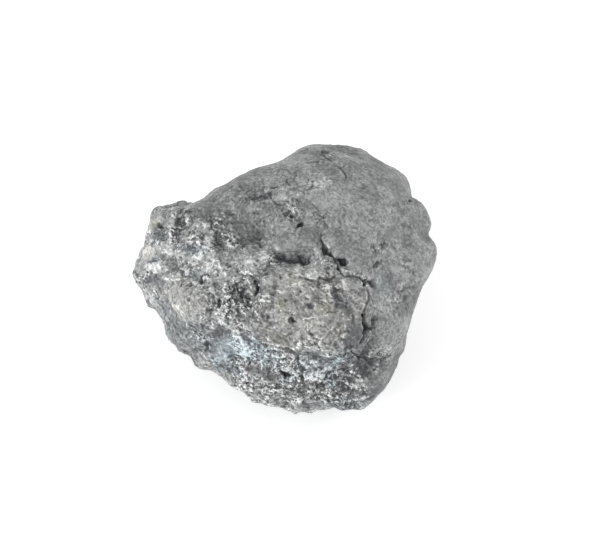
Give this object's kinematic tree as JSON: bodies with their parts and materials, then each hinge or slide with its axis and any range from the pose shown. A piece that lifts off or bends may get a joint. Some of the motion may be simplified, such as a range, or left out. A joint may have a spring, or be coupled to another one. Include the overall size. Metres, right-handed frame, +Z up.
{
  "type": "rough diamond",
  "caption": "Loose lump of natural grey polycrystalline diamond: a smooth skinned dome beside broken, pitted, crystalline faces with a raised, cracked boss. It lies on a small flat cleavage.",
  "frame": {"origin": "the middle of the lump's box seen from above, on the surface that it lies on", "axes": "+Z up from the flat cleavage that it lies on; +X along the lump's length, towards the smooth right lobe; -Y towards the broken, crystalline front"},
  "size_m": [0.0282, 0.0244, 0.0184],
  "materials": {
    "grey_diamond": "dull grey skin with a slight submetallic lustre, and coarse sparkling crystal faces where it is broken"
  },
  "bodies": {
    "root": {"rough_diamond": "grey_diamond"}
  },
  "joints": []
}
